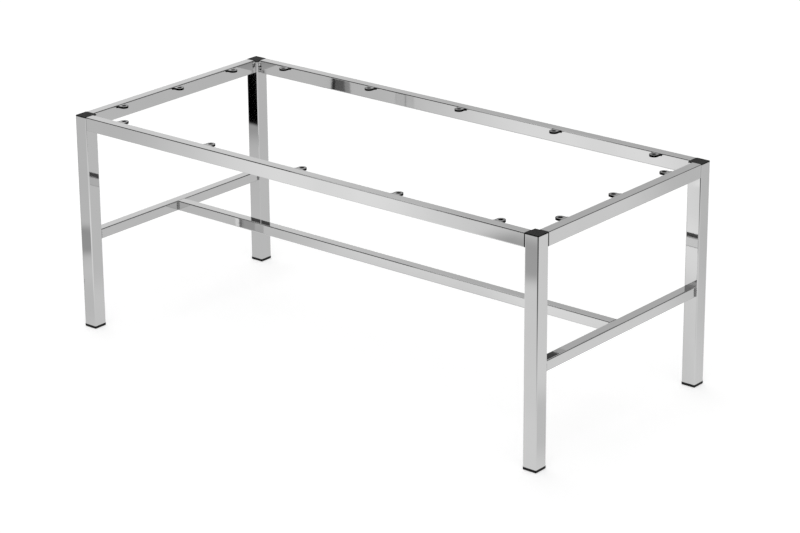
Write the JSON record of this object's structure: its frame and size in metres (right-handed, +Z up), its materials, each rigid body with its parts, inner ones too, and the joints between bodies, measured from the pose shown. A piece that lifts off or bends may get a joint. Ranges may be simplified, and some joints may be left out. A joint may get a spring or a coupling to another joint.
{
  "type": "table frame",
  "caption": "Low rectangular table frame of chromed square tube, with screw tabs for a top, an H of stretchers between the legs, and black plastic caps and glides.",
  "frame": {"origin": "on the floor, midway between the four feet", "axes": "+X along the long rails to the right, +Y across the frame to the back, +Z up"},
  "size_m": [1.0306, 0.4806, 0.405],
  "materials": {
    "chrome": "bright chrome plate",
    "black_plastic": "matt moulded"
  },
  "bodies": {
    "root": {"cap_back_left": "black_plastic", "cap_back_right": "black_plastic", "cap_front_left": "black_plastic", "cap_front_right": "black_plastic", "centre_stretcher": "chrome", "end_stretcher_left": "chrome", "end_stretcher_right": "chrome", "glide_back_left": "black_plastic", "glide_back_right": "black_plastic", "glide_front_left": "black_plastic", "glide_front_right": "black_plastic", "leg_back_left": "chrome", "leg_back_right": "chrome", "leg_front_left": "chrome", "leg_front_right": "chrome", "long_rail_back": "chrome", "long_rail_front": "chrome", "short_rail_left": "chrome", "short_rail_right": "chrome", "tab_back_1": "chrome", "tab_back_2": "chrome", "tab_back_3": "chrome", "tab_back_4": "chrome", "tab_back_5": "chrome", "tab_front_1": "chrome", "tab_front_2": "chrome", "tab_front_3": "chrome", "tab_front_4": "chrome", "tab_front_5": "chrome", "tab_left_1": "chrome", "tab_left_2": "chrome", "tab_left_3": "chrome", "tab_right_1": "chrome", "tab_right_2": "chrome", "tab_right_3": "chrome"}
  },
  "joints": []
}
